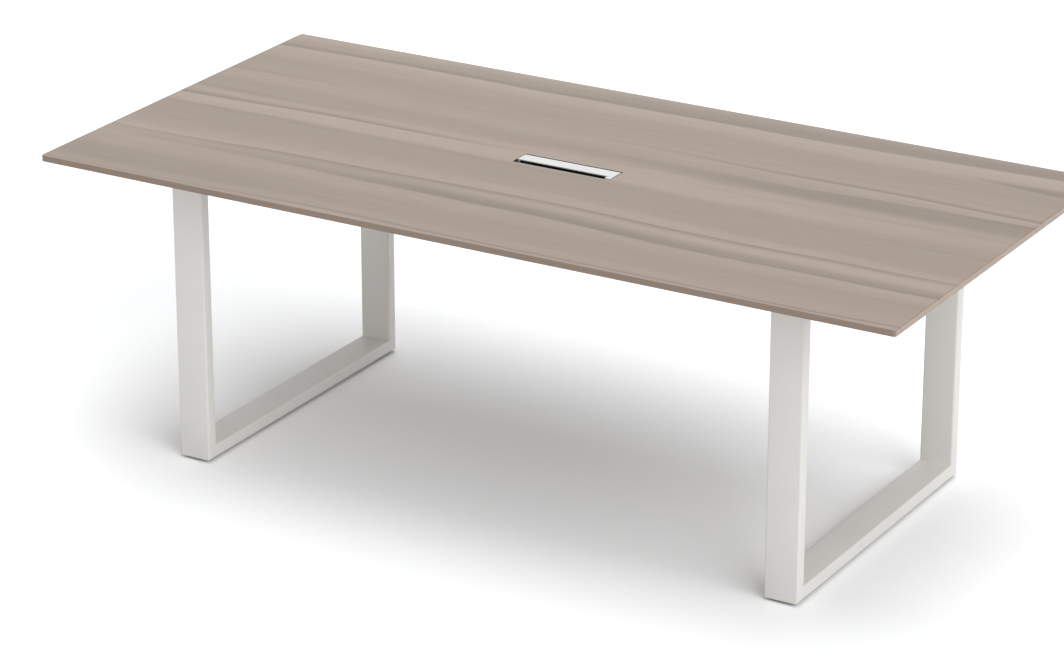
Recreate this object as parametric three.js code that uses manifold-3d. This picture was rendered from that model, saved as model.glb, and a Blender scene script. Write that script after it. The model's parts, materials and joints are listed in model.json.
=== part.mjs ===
// Conference table: a wood-decor top with a bevelled underside on two closed loop legs of
// rectangular tube, with a hinged cable port in the middle of the top.
// Millimetres, +Z up. The origin is on the floor under the middle of the top,
// X runs along the table and -Y is the front.

import * as THREE from 'three';
import { mergeVertices } from 'three/addons/utils/BufferGeometryUtils.js';
import Module from 'manifold-3d';

const wasm = await Module();
wasm.setup();

// Overall size
const TABLE_LENGTH = 2100;
const TABLE_WIDTH = 1050;
const TABLE_HEIGHT = 720;

// Glue lines, weld seams, seats and slip fits
const FIT_GAP = 0.3;

// Top: decor laminate on a board core, backing sheet below, band round the edge
const TOP_THICKNESS = 28;
const SHEET_THICKNESS = 0.8;
const EDGE_HEIGHT = 14;
const EDGE_BAND_THICKNESS = 2;
const BEVEL_WIDTH = 55;
const TOP_CORNER_RADIUS = 8;
const BEVEL_CORNER_RADIUS = 4;

// Leg loops of rectangular tube
const TUBE_WIDTH = 80;
const TUBE_DEPTH = 30;
const TUBE_WALL = 2;
const TUBE_CORNER_RADIUS = 5;
const END_OVERHANG = 262;
const SIDE_OVERHANG = 127;
const FLOOR_GAP = 6;

// Fixing plates on the head beams, with bolts and threaded inserts
const PLATE_THICKNESS = 4;
const PLATE_WING = 26;
const PLATE_WIDTH = 70;
const PLATE_CORNER_RADIUS = 8;
const PLATE_SETBACK = 90;
const BOLT_DIAMETER = 8;
const BOLT_HEAD_ACROSS_FLATS = 13;
const BOLT_HEAD_HEIGHT = 5.3;
const BOLT_GRIP = 12;
const BOLT_EDGE_DISTANCE = 12;
const INSERT_DIAMETER = 12;
const INSERT_LENGTH = 13;
const INSERT_RELIEF = 2;

// Rails under the top, bolted to the head beams
const RAIL_WIDTH = 30;
const RAIL_HEIGHT = 30;
const RAIL_WALL = 1.6;
const RAIL_CORNER_RADIUS = 3;
const RAIL_TO_TRAY = 20;
const RAIL_PLATE_THICKNESS = 5;
const RAIL_PLATE_EAR = 20;
const RAIL_PLATE_CORNER_RADIUS = 4;
const RAIL_BOLT_DIAMETER = 8;

// Levelling glides
const GLIDE_SETBACK = 45;
const GLIDE_TRAVEL = 12;
const PAD_DIAMETER = 40;
const PAD_CHAMFER = 1.2;
const PAD_FLOOR = 2.2;
const STEM_DIAMETER = 10;
const STEM_SPARE = 2;
const STEM_FLATS = 8;
const STEM_FLATS_HEIGHT = 9;
const NUT_ACROSS_FLATS = 17;
const NUT_HEIGHT = 8;

// Cable port: box through the top and a lid hinged along its rear edge
const PORT_LENGTH = 245;
const PORT_WIDTH = 56;
const PORT_WALL = 2;
const PORT_CORNER_RADIUS = 4;
const PORT_RECESS = 0.5;
const PORT_FLANGE = 12;
const PORT_FLANGE_THICKNESS = 2;
const PORT_SKIRT = 8;
const LEDGE_REACH = 4;
const LEDGE_WIDTH = 12;
const LEDGE_HEIGHT = 4;
const LID_WIDTH = 36;
const LID_PLATE = 2.2;
const LID_LIP = 2;
const LID_LIP_HEIGHT = 3.2;
const LID_CHAMFER = 0.6;
const LID_PROUD = 0.6;
const LID_END_GAP = 1;
const CAP_THICKNESS = 3;
const PIN_DIAMETER = 3.2;
const PIN_INSERTION = 14;
const BARREL_WALL = 1.9;
const HINGE_SWING_CLEARANCE = 1.7;
const TAB_WIDTH = 15;
const TAB_THICKNESS = 4;
const TAB_CLEARANCE = 3;

// Cable tray folded from sheet
const TRAY_LENGTH = 620;
const TRAY_WIDTH = 170;
const TRAY_DEPTH = 75;
const TRAY_SHEET = 1.5;
const TRAY_BEND_RADIUS = 2;
const TRAY_FLANGE = 18;
const TRAY_SLOT_LENGTH = 26;
const TRAY_SLOT_WIDTH = 6;
const TRAY_SLOT_PITCH = 110;
const TRAY_SLOT_COLUMNS = 5;
const TRAY_SLOT_INSET = 35;

// Wood screws that hold the port box and the tray
const SCREW_HOLE_DIAMETER = 4.5;
const SCREW_END_DISTANCE = 40;

// Facets
const CORNER_STEPS = 2;
const TOP_CORNER_STEPS = 6;
const BEND_STEPS = 3;
const BARREL_STEPS = 8;
const HOLE_SIDES = 12;
const PAD_SIDES = 24;

const X_AXIS = new THREE.Vector3(1, 0, 0);
const Y_AXIS = new THREE.Vector3(0, 1, 0);
const Z_AXIS = new THREE.Vector3(0, 0, 1);

// Levels and places that more than one piece uses
const topUnderside = TABLE_HEIGHT - TOP_THICKNESS;
const plateTop = topUnderside - FIT_GAP;
const plateBottom = plateTop - PLATE_THICKNESS;
const frameTop = plateBottom - FIT_GAP;
const frameX = TABLE_LENGTH / 2 - END_OVERHANG - TUBE_WIDTH / 2;
const frameDepth = TABLE_WIDTH - 2 * SIDE_OVERHANG;
const frameHeight = frameTop - FLOOR_GAP;
const plateY = frameDepth / 2 - PLATE_SETBACK;
const boltX = TUBE_WIDTH / 2 + PLATE_WING - BOLT_EDGE_DISTANCE;
const boltHole = BOLT_DIAMETER + 2 * FIT_GAP;
const glideY = frameDepth / 2 - GLIDE_SETBACK;
const headBeamZ = frameTop - TUBE_DEPTH / 2;
const railY = TRAY_WIDTH / 2 + TRAY_FLANGE + RAIL_TO_TRAY + RAIL_WIDTH / 2;
const railBoltOffset = RAIL_WIDTH / 2 + RAIL_PLATE_EAR / 2;
const railBoltHole = RAIL_BOLT_DIAMETER + 2 * FIT_GAP;
const portCutLength = PORT_LENGTH + 2 * (PORT_WALL + FIT_GAP);
const portCutWidth = PORT_WIDTH + 2 * (PORT_WALL + FIT_GAP);
const barrelRadius = PIN_DIAMETER / 2 + FIT_GAP + BARREL_WALL;
const hingeY = PORT_WIDTH / 2 - barrelRadius - HINGE_SWING_CLEARANCE;
const hingeZ = TABLE_HEIGHT + LID_PROUD - barrelRadius;
const lidFront = barrelRadius - LID_WIDTH;
const capOuterX = PORT_LENGTH / 2 - LID_END_GAP;
const capInnerX = capOuterX - CAP_THICKNESS;

// Finishes
const finish = (color, roughness, metalness) => () =>
  new THREE.MeshStandardMaterial({ color, roughness, metalness });
const woodDecor = finish(0xaa9d92, 0.45, 0);
const edgeBrown = finish(0x7d6a5e, 0.5, 0);
const boardBrown = finish(0x6f6056, 0.8, 0);
const backingGrey = finish(0x8d8782, 0.7, 0);
const legPaint = finish(0xd2cfca, 0.4, 0.1);
const railPaint = finish(0x2c2d2f, 0.5, 0.1);
const zincSteel = finish(0xb4b6b8, 0.35, 0.9);
const brass = finish(0xb8973f, 0.35, 0.9);
const blackPlastic = finish(0x1b1b1c, 0.6, 0);
const lidAluminium = finish(0xdfe0df, 0.3, 0.6);
const whitePlastic = finish(0xe6e2df, 0.4, 0);

// Shapes and solids

function roundedRect(width, height, radius) {
  const x = width / 2 - radius;
  const y = height / 2 - radius;
  const shape = new THREE.Shape();
  shape.absarc(x, y, radius, 0, Math.PI / 2);
  shape.absarc(-x, y, radius, Math.PI / 2, Math.PI);
  shape.absarc(-x, -y, radius, Math.PI, 1.5 * Math.PI);
  shape.absarc(x, -y, radius, 1.5 * Math.PI, 2 * Math.PI);
  return shape;
}

function roundedRing(width, height, radius, wall) {
  const ring = roundedRect(width, height, radius);
  ring.holes.push(roundedRect(width - 2 * wall, height - 2 * wall, radius - wall));
  return ring;
}

// A straight extrusion along +Z from the given level.
function prism(shape, length, level = 0, steps = CORNER_STEPS) {
  const options = { depth: length, bevelEnabled: false, curveSegments: steps };
  return new THREE.ExtrudeGeometry(shape, options).translate(0, 0, level);
}

// A round bar along +Z whose lower end is at the given level.
function bar(diameter, length, level = 0, sides = HOLE_SIDES) {
  const cylinder = new THREE.CylinderGeometry(diameter / 2, diameter / 2, length, sides);
  return cylinder.rotateX(Math.PI / 2).translate(0, 0, level + length / 2);
}

function block(low, high) {
  const size = high.map((value, axis) => value - low[axis]);
  const centre = high.map((value, axis) => (value + low[axis]) / 2);
  return new THREE.BoxGeometry(...size).translate(...centre);
}

// Turns geometry so that its own axes lie along the given directions.
function orient(geometry, xAxis, yAxis, zAxis) {
  return geometry.applyMatrix4(new THREE.Matrix4().makeBasis(xAxis, yAxis, zAxis));
}

// Turns a profile drawn in (Y, Z) and extruded by prism so that its length lies along X.
function alongX(geometry) {
  return orient(geometry, Y_AXIS, Z_AXIS, X_AXIS);
}

// A closed solid through outlines of equal point count, listed from the lowest to the highest.
function loft(sections, steps) {
  const rings = sections.map(({ shape }) => shape.getPoints(steps));
  const count = rings[0].length;
  const positions = sections.flatMap(({ level }, ring) => rings[ring].flatMap(({ x, y }) => [x, y, level]));
  const index = [];
  for (let ring = 0; ring + 1 < rings.length; ring++) {
    for (let step = 0; step < count; step++) {
      const here = ring * count + step;
      const next = ring * count + ((step + 1) % count);
      index.push(here, next, next + count, here, next + count, here + count);
    }
  }
  const lastRing = (rings.length - 1) * count;
  THREE.ShapeUtils.triangulateShape(rings[0], []).forEach(([a, b, c]) => index.push(c, b, a));
  THREE.ShapeUtils.triangulateShape(rings.at(-1), []).forEach((face) =>
    index.push(...face.map((corner) => lastRing + corner)));
  const geometry = new THREE.BufferGeometry();
  geometry.setAttribute('position', new THREE.Float32BufferAttribute(positions, 3));
  geometry.setIndex(index);
  return geometry;
}

function solidOf(geometry) {
  const bare = geometry.clone();
  bare.deleteAttribute('normal');
  bare.deleteAttribute('uv');
  const merged = mergeVertices(bare);
  return new wasm.Manifold(new wasm.Mesh({
    numProp: 3,
    vertProperties: new Float32Array(merged.attributes.position.array),
    triVerts: new Uint32Array(merged.index.array),
  }));
}

function geometryOf(solid) {
  const mesh = solid.getMesh();
  const geometry = new THREE.BufferGeometry();
  geometry.setAttribute('position', new THREE.BufferAttribute(mesh.vertProperties, 3));
  geometry.setIndex(new THREE.BufferAttribute(mesh.triVerts, 1));
  geometry.computeVertexNormals();
  return geometry;
}

function cut(geometry, tools) {
  return geometryOf(tools.reduce((body, tool) => body.subtract(solidOf(tool)), solidOf(geometry)));
}

function join(geometries) {
  return geometryOf(geometries.map(solidOf).reduce((body, piece) => body.add(piece)));
}

function addPiece(parent, name, geometry, material) {
  const mesh = new THREE.Mesh(geometry, material());
  mesh.name = name;
  parent.add(mesh);
  return mesh;
}

const SIDES = [
  { name: 'left', sign: -1 },
  { name: 'right', sign: 1 },
];
const ENDS = [
  { name: 'front', sign: -1 },
  { name: 'rear', sign: 1 },
];
const WINGS = [
  { name: 'inner', sign: -1 },
  { name: 'outer', sign: 1 },
];

// Every place where a bolt goes up through a fixing plate into the top.
const boltPlaces = SIDES.flatMap((side) => ENDS.flatMap((end) => WINGS.map((wing) => ({
  name: `${side.name}_${end.name}_${wing.name}`,
  x: side.sign * (frameX + wing.sign * boltX),
  y: end.sign * plateY,
}))));

// Top

function topOutline(inset, radius) {
  return roundedRect(TABLE_LENGTH - 2 * inset, TABLE_WIDTH - 2 * inset, radius);
}

function portCut(bottom, top) {
  const shape = roundedRect(portCutLength, portCutWidth, PORT_CORNER_RADIUS);
  return prism(shape, top - bottom, bottom);
}

function buildTop() {
  const top = new THREE.Group();
  const bandInset = EDGE_BAND_THICKNESS + FIT_GAP;
  const bandRadius = TOP_CORNER_RADIUS - bandInset;
  const coreTop = TABLE_HEIGHT - SHEET_THICKNESS - FIT_GAP;
  const coreBottom = topUnderside + SHEET_THICKNESS + FIT_GAP;
  const edgeBottom = TABLE_HEIGHT - EDGE_HEIGHT;
  const insertHole = INSERT_DIAMETER + 2 * FIT_GAP;
  const insertDepth = INSERT_LENGTH + INSERT_RELIEF;

  const board = loft([
    { shape: topOutline(BEVEL_WIDTH, BEVEL_CORNER_RADIUS), level: coreBottom },
    { shape: topOutline(bandInset, bandRadius), level: edgeBottom },
    { shape: topOutline(bandInset, bandRadius), level: coreTop },
  ], TOP_CORNER_STEPS);
  const insertHoles = boltPlaces.map(({ x, y }) =>
    bar(insertHole, insertDepth + TOP_THICKNESS, coreBottom - TOP_THICKNESS).translate(x, y, 0));
  const coreCuts = [portCut(topUnderside, TABLE_HEIGHT), ...insertHoles];
  addPiece(top, 'top_core', cut(board, coreCuts), boardBrown);

  const laminate = topOutline(bandInset, bandRadius);
  laminate.holes.push(roundedRect(portCutLength, portCutWidth, PORT_CORNER_RADIUS));
  const laminateLevel = TABLE_HEIGHT - SHEET_THICKNESS;
  const decor = prism(laminate, SHEET_THICKNESS, laminateLevel, TOP_CORNER_STEPS);
  addPiece(top, 'top_laminate', decor, woodDecor);

  const backerShape = topOutline(BEVEL_WIDTH, BEVEL_CORNER_RADIUS);
  const backer = prism(backerShape, SHEET_THICKNESS, topUnderside, TOP_CORNER_STEPS);
  const backerCuts = [portCut(topUnderside - TOP_THICKNESS, TABLE_HEIGHT), ...insertHoles];
  addPiece(top, 'top_backer', cut(backer, backerCuts), backingGrey);

  const band = topOutline(0, TOP_CORNER_RADIUS);
  band.holes.push(topOutline(EDGE_BAND_THICKNESS, TOP_CORNER_RADIUS - EDGE_BAND_THICKNESS));
  addPiece(top, 'top_edge_band', prism(band, EDGE_HEIGHT, edgeBottom, TOP_CORNER_STEPS), edgeBrown);
  return top;
}

// Leg loops

// A tube along +Z with 45 degree mitres at both ends, longest on its +Y face.
function mitredTube(outerLength) {
  const section = roundedRing(TUBE_WIDTH, TUBE_DEPTH, TUBE_CORNER_RADIUS, TUBE_WALL);
  const tube = prism(section, outerLength);
  const corners = tube.attributes.position;
  const seam = FIT_GAP / Math.SQRT2;
  for (let corner = 0; corner < corners.count; corner++) {
    const retreat = TUBE_DEPTH / 2 - corners.getY(corner) + seam;
    const atStart = corners.getZ(corner) < outerLength / 2;
    corners.setZ(corner, atStart ? retreat : outerLength - retreat);
  }
  return tube;
}

function buildLegLoop(side) {
  const loop = new THREE.Group();
  loop.position.x = side.sign * frameX;
  const down = Z_AXIS.clone().negate();
  const left = X_AXIS.clone().negate();
  const forward = Y_AXIS.clone().negate();

  const frontPost = orient(mitredTube(frameHeight), left, forward, Z_AXIS);
  frontPost.translate(0, TUBE_DEPTH / 2 - frameDepth / 2, FLOOR_GAP);
  addPiece(loop, `${side.name}_front_post`, frontPost, legPaint);

  const rearPost = orient(mitredTube(frameHeight), X_AXIS, Y_AXIS, Z_AXIS);
  rearPost.translate(0, frameDepth / 2 - TUBE_DEPTH / 2, FLOOR_GAP);
  addPiece(loop, `${side.name}_rear_post`, rearPost, legPaint);

  const footBeam = orient(mitredTube(frameDepth), X_AXIS, down, Y_AXIS);
  footBeam.translate(0, -frameDepth / 2, FLOOR_GAP + TUBE_DEPTH / 2);
  const stemHole = STEM_DIAMETER + 2 * FIT_GAP;
  const stemHoles = ENDS.map((end) =>
    bar(stemHole, TUBE_DEPTH, FLOOR_GAP - TUBE_DEPTH / 2).translate(0, end.sign * glideY, 0));
  addPiece(loop, `${side.name}_foot_beam`, cut(footBeam, stemHoles), legPaint);

  const headBeam = orient(mitredTube(frameDepth), left, Z_AXIS, Y_AXIS);
  headBeam.translate(0, -frameDepth / 2, headBeamZ);
  const innerWallX = -side.sign * TUBE_WIDTH / 2;
  const railBoltHoles = ENDS.flatMap((end) => ENDS.map((ear) => {
    const y = end.sign * railY + ear.sign * railBoltOffset;
    return alongX(bar(railBoltHole, TUBE_DEPTH, -TUBE_DEPTH / 2)).translate(innerWallX, y, headBeamZ);
  }));
  addPiece(loop, `${side.name}_head_beam`, cut(headBeam, railBoltHoles), legPaint);
  return loop;
}

// Fixing plates, bolts and threaded inserts

function hexagon(acrossFlats) {
  const radius = acrossFlats / Math.sqrt(3);
  const corners = [0, 1, 2, 3, 4, 5].map((step) => step * Math.PI / 3);
  return new THREE.Shape(corners.map((angle) =>
    new THREE.Vector2(radius * Math.cos(angle), radius * Math.sin(angle))));
}

function circle(diameter) {
  return new THREE.Shape().absarc(0, 0, diameter / 2, 0, 2 * Math.PI);
}

function buildFixings() {
  const fixings = new THREE.Group();
  const plateShape = roundedRect(TUBE_WIDTH + 2 * PLATE_WING, PLATE_WIDTH, PLATE_CORNER_RADIUS);
  const plateHoles = WINGS.map((wing) =>
    bar(boltHole, 3 * PLATE_THICKNESS, -PLATE_THICKNESS).translate(wing.sign * boltX, 0, 0));
  const plate = cut(prism(plateShape, PLATE_THICKNESS), plateHoles);
  for (const side of SIDES) {
    for (const end of ENDS) {
      const piece = addPiece(fixings, `${side.name}_${end.name}_fixing_plate`, plate.clone(), legPaint);
      piece.position.set(side.sign * frameX, end.sign * plateY, plateBottom);
    }
  }

  const boltLength = PLATE_THICKNESS + BOLT_GRIP;
  const bolt = join([
    prism(hexagon(BOLT_HEAD_ACROSS_FLATS), BOLT_HEAD_HEIGHT, -BOLT_HEAD_HEIGHT),
    bar(BOLT_DIAMETER, boltLength + BOLT_HEAD_HEIGHT / 2, -BOLT_HEAD_HEIGHT / 2),
  ]);
  const insertShape = circle(INSERT_DIAMETER);
  insertShape.holes.push(circle(boltHole));
  const insert = prism(insertShape, INSERT_LENGTH, 0, HOLE_SIDES / 2);
  for (const place of boltPlaces) {
    const boltPiece = addPiece(fixings, `frame_bolt_${place.name}`, bolt.clone(), zincSteel);
    boltPiece.position.set(place.x, place.y, plateBottom - FIT_GAP);
    const insertPiece = addPiece(fixings, `threaded_insert_${place.name}`, insert.clone(), brass);
    insertPiece.position.set(place.x, place.y, topUnderside + SHEET_THICKNESS + FIT_GAP);
  }
  return fixings;
}

// Rails with their end plates

function buildRails() {
  const rails = new THREE.Group();
  const plateOuterX = frameX - TUBE_WIDTH / 2 - FIT_GAP;
  const railHalf = plateOuterX - RAIL_PLATE_THICKNESS - FIT_GAP;
  const railTube = roundedRing(RAIL_WIDTH, RAIL_HEIGHT, RAIL_CORNER_RADIUS, RAIL_WALL);
  const railZ = topUnderside - FIT_GAP - RAIL_HEIGHT / 2;
  const plateShape = roundedRect(RAIL_WIDTH + 2 * RAIL_PLATE_EAR, TUBE_DEPTH, RAIL_PLATE_CORNER_RADIUS);
  const earHoles = ENDS.map((ear) =>
    bar(railBoltHole, 3 * RAIL_PLATE_THICKNESS, -RAIL_PLATE_THICKNESS)
      .translate(ear.sign * railBoltOffset, 0, 0));
  const endPlate = alongX(cut(prism(plateShape, RAIL_PLATE_THICKNESS), earHoles));
  for (const end of ENDS) {
    const rail = alongX(prism(railTube, 2 * railHalf, -railHalf));
    addPiece(rails, `${end.name}_rail`, rail, railPaint).position.set(0, end.sign * railY, railZ);
    for (const side of SIDES) {
      const piece = addPiece(rails, `${end.name}_rail_${side.name}_end_plate`, endPlate.clone(), railPaint);
      const plateStart = side.sign < 0 ? -plateOuterX : plateOuterX - RAIL_PLATE_THICKNESS;
      piece.position.set(plateStart, end.sign * railY, headBeamZ);
    }
  }
  return rails;
}

// Levelling glides

function buildGlide(side, end) {
  const glide = new THREE.Group();
  glide.position.set(side.sign * frameX, end.sign * glideY, 0);
  const place = `${side.name}_${end.name}`;

  const padHeight = FLOOR_GAP - FIT_GAP;
  const socketRadius = STEM_DIAMETER / 2 + FIT_GAP;
  const padRadius = PAD_DIAMETER / 2;
  const padProfile = [
    [0, 0],
    [padRadius - PAD_CHAMFER, 0],
    [padRadius, PAD_CHAMFER],
    [padRadius, padHeight - PAD_CHAMFER],
    [padRadius - PAD_CHAMFER, padHeight],
    [socketRadius, padHeight],
    [socketRadius, PAD_FLOOR],
    [0, PAD_FLOOR],
  ].map(([radius, level]) => new THREE.Vector2(radius, level));
  const pad = new THREE.LatheGeometry(padProfile, PAD_SIDES).rotateX(Math.PI / 2);
  addPiece(glide, `glide_pad_${place}`, pad, blackPlastic);

  const stemBottom = PAD_FLOOR + FIT_GAP;
  const nutBottom = FLOOR_GAP + TUBE_WALL + FIT_GAP;
  const stemTop = nutBottom + NUT_HEIGHT + GLIDE_TRAVEL + STEM_SPARE;
  const flatsTop = padHeight + STEM_FLATS_HEIGHT;
  const flats = ENDS.map((flat) => {
    const cheek = block([-STEM_DIAMETER, 0, padHeight], [STEM_DIAMETER, STEM_DIAMETER, flatsTop]);
    const offset = flat.sign < 0 ? -STEM_FLATS / 2 - STEM_DIAMETER : STEM_FLATS / 2;
    return cheek.translate(0, offset, 0);
  });
  const stem = bar(STEM_DIAMETER, stemTop - stemBottom, stemBottom);
  addPiece(glide, `glide_stem_${place}`, cut(stem, flats), zincSteel);

  const nutShape = hexagon(NUT_ACROSS_FLATS);
  nutShape.holes.push(circle(STEM_DIAMETER + 2 * FIT_GAP));
  const nut = prism(nutShape, NUT_HEIGHT, nutBottom, HOLE_SIDES / 2);
  addPiece(glide, `glide_nut_${place}`, nut, zincSteel);
  return glide;
}

// Cable port

function portBox() {
  const boxTop = TABLE_HEIGHT - PORT_RECESS;
  const flangeTop = topUnderside - FIT_GAP;
  const flangeBottom = flangeTop - PORT_FLANGE_THICKNESS;
  const skirtBottom = flangeBottom - PORT_SKIRT;
  const sleeveLength = PORT_LENGTH + 2 * PORT_WALL;
  const sleeveWidth = PORT_WIDTH + 2 * PORT_WALL;
  const sleeveRadius = PORT_CORNER_RADIUS - FIT_GAP;
  const sleeve = roundedRing(sleeveLength, sleeveWidth, sleeveRadius, PORT_WALL);
  const flange = roundedRect(
    sleeveLength + 2 * PORT_FLANGE, sleeveWidth + 2 * PORT_FLANGE, sleeveRadius + PORT_FLANGE);
  flange.holes.push(roundedRect(PORT_LENGTH, PORT_WIDTH, sleeveRadius - PORT_WALL));
  const ledgeTop = hingeZ - barrelRadius - FIT_GAP;
  const ledges = SIDES.map((side) => {
    const wallX = side.sign * (PORT_LENGTH / 2 + PORT_WALL / 2);
    const tipX = side.sign * (PORT_LENGTH / 2 - LEDGE_REACH);
    const y = hingeY + lidFront;
    return block(
      [Math.min(wallX, tipX), y, ledgeTop - LEDGE_HEIGHT],
      [Math.max(wallX, tipX), y + LEDGE_WIDTH, ledgeTop]);
  });
  const body = join([
    prism(sleeve, boxTop - skirtBottom, skirtBottom),
    prism(flange, PORT_FLANGE_THICKNESS, flangeBottom),
    ...ledges,
  ]);
  const pinHole = alongX(bar(PIN_DIAMETER + 2 * FIT_GAP, 2 * sleeveLength, -sleeveLength));
  const screwX = sleeveLength / 2 - SCREW_END_DISTANCE;
  const screwY = sleeveWidth / 2 + PORT_FLANGE / 2;
  const screwHoles = SIDES.flatMap((side) => ENDS.map((end) =>
    bar(SCREW_HOLE_DIAMETER, 3 * PORT_FLANGE_THICKNESS, flangeBottom - PORT_FLANGE_THICKNESS)
      .translate(side.sign * screwX, end.sign * screwY, 0)));
  return cut(body, [pinHole.translate(0, hingeY, hingeZ), ...screwHoles]);
}

// The lid's extruded section, drawn round the hinge axis: barrel, plate and front lip.
function lidSection() {
  const top = barrelRadius;
  const underside = top - LID_PLATE;
  const meet = Math.PI - Math.asin(underside / barrelRadius);
  const section = new THREE.Shape();
  section.moveTo(0, top);
  section.lineTo(lidFront + LID_CHAMFER, top);
  section.lineTo(lidFront, top - LID_CHAMFER);
  section.lineTo(lidFront, top - LID_LIP_HEIGHT);
  section.lineTo(lidFront + LID_LIP, top - LID_LIP_HEIGHT);
  section.lineTo(lidFront + LID_LIP, underside);
  section.absarc(0, 0, barrelRadius, meet, 2.5 * Math.PI);
  section.holes.push(circle(PIN_DIAMETER + 2 * FIT_GAP));
  return section;
}

function capSection() {
  const section = new THREE.Shape();
  section.moveTo(0, barrelRadius);
  section.lineTo(lidFront + LID_CHAMFER, barrelRadius);
  section.lineTo(lidFront, barrelRadius - LID_CHAMFER);
  section.lineTo(lidFront, -barrelRadius);
  section.absarc(0, 0, barrelRadius, -Math.PI / 2, Math.PI / 2);
  section.holes.push(circle(PIN_DIAMETER + 2 * FIT_GAP));
  return section;
}

// The finger tab seen from above: it joins the right end cap and lies in front of the lid's lip.
function liftTab() {
  const tabFront = TAB_CLEARANCE - PORT_WIDTH / 2 - hingeY;
  const outline = new THREE.Shape();
  outline.moveTo(capOuterX, lidFront + CAP_THICKNESS);
  outline.lineTo(capInnerX, lidFront + CAP_THICKNESS);
  outline.lineTo(capInnerX, lidFront - FIT_GAP);
  outline.lineTo(capOuterX - TAB_WIDTH, lidFront - FIT_GAP);
  outline.lineTo(capOuterX - TAB_WIDTH, tabFront);
  outline.lineTo(capOuterX, tabFront);
  return prism(outline, TAB_THICKNESS, barrelRadius - TAB_THICKNESS);
}

function buildPort() {
  const port = new THREE.Group();
  addPiece(port, 'port_box', portBox(), blackPlastic);

  const lid = new THREE.Group();
  lid.position.set(0, hingeY, hingeZ);
  port.add(lid);
  const profileHalf = capInnerX - FIT_GAP;
  const profile = alongX(prism(lidSection(), 2 * profileHalf, -profileHalf, BARREL_STEPS));
  addPiece(lid, 'lid_profile', profile, lidAluminium);
  const leftCap = alongX(prism(capSection(), CAP_THICKNESS, -capOuterX, BARREL_STEPS));
  addPiece(lid, 'lid_end_cap_left', leftCap, whitePlastic);
  const rightCap = alongX(prism(capSection(), CAP_THICKNESS, capInnerX, BARREL_STEPS));
  addPiece(lid, 'lid_end_cap_right', join([rightCap, liftTab()]), whitePlastic);

  const pinOuterX = PORT_LENGTH / 2 + PORT_WALL;
  const pinLength = pinOuterX - capInnerX + PIN_INSERTION;
  const leftPin = alongX(bar(PIN_DIAMETER, pinLength, -pinOuterX));
  addPiece(port, 'hinge_pin_left', leftPin, zincSteel).position.set(0, hingeY, hingeZ);
  const rightPin = alongX(bar(PIN_DIAMETER, pinLength, pinOuterX - pinLength));
  addPiece(port, 'hinge_pin_right', rightPin, zincSteel).position.set(0, hingeY, hingeZ);
  return port;
}

// Cable tray

// The tray's folded section with its flanges at level 0. Both faces of a bend share a centre.
function traySection() {
  const quarter = Math.PI / 2;
  const inside = TRAY_BEND_RADIUS;
  const outside = TRAY_BEND_RADIUS + TRAY_SHEET;
  const flangeTip = TRAY_WIDTH / 2 + TRAY_FLANGE;
  const upperY = TRAY_WIDTH / 2 + inside;
  const upperZ = -outside;
  const lowerY = TRAY_WIDTH / 2 - outside;
  const lowerZ = outside - TRAY_DEPTH;
  const section = new THREE.Shape();
  section.moveTo(-flangeTip, 0);
  section.lineTo(-flangeTip, -TRAY_SHEET);
  section.absarc(-upperY, upperZ, inside, quarter, 0, true);
  section.absarc(-lowerY, lowerZ, outside, 2 * quarter, 3 * quarter);
  section.absarc(lowerY, lowerZ, outside, 3 * quarter, 4 * quarter);
  section.absarc(upperY, upperZ, inside, 2 * quarter, quarter, true);
  section.lineTo(flangeTip, -TRAY_SHEET);
  section.lineTo(flangeTip, 0);
  section.absarc(upperY, upperZ, outside, quarter, 2 * quarter);
  section.absarc(lowerY, lowerZ, inside, 4 * quarter, 3 * quarter, true);
  section.absarc(-lowerY, lowerZ, inside, 3 * quarter, 2 * quarter, true);
  section.absarc(-upperY, upperZ, outside, 0, quarter);
  return section;
}

function buildTray() {
  const half = TRAY_WIDTH / 2;
  const channel = alongX(prism(traySection(), TRAY_LENGTH, -TRAY_LENGTH / 2, BEND_STEPS));
  const slotShape = roundedRect(TRAY_SLOT_LENGTH, TRAY_SLOT_WIDTH, TRAY_SLOT_WIDTH / 2 - FIT_GAP);
  const slots = [];
  for (let column = 0; column < TRAY_SLOT_COLUMNS; column++) {
    const x = (column - (TRAY_SLOT_COLUMNS - 1) / 2) * TRAY_SLOT_PITCH;
    for (const end of ENDS) {
      const slot = prism(slotShape, 4 * TRAY_SHEET, -TRAY_DEPTH - TRAY_SHEET);
      slots.push(slot.translate(x, end.sign * (half - TRAY_SLOT_INSET), 0));
    }
  }
  const screwX = TRAY_LENGTH / 2 - SCREW_END_DISTANCE;
  const screwHoles = SIDES.flatMap((side) => ENDS.map((end) =>
    bar(SCREW_HOLE_DIAMETER, 4 * TRAY_SHEET, -2 * TRAY_SHEET)
      .translate(side.sign * screwX, end.sign * (half + TRAY_FLANGE / 2), 0)));
  const tray = new THREE.Group();
  const piece = addPiece(tray, 'cable_tray', cut(channel, [...slots, ...screwHoles]), railPaint);
  piece.position.z = topUnderside - FIT_GAP;
  return tray;
}

const table = new THREE.Group();
table.add(buildTop(), buildFixings(), buildRails(), buildPort(), buildTray());
for (const side of SIDES) {
  table.add(buildLegLoop(side));
  for (const end of ENDS) {
    table.add(buildGlide(side, end));
  }
}

export default table;
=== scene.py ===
import json
import logging
import math
from dataclasses import dataclass
from enum import Enum
from functools import partial, reduce
from itertools import product
from typing import Callable, ClassVar, Iterable, Sequence

import bpy
import bmesh
from mathutils import Matrix, Vector


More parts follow.
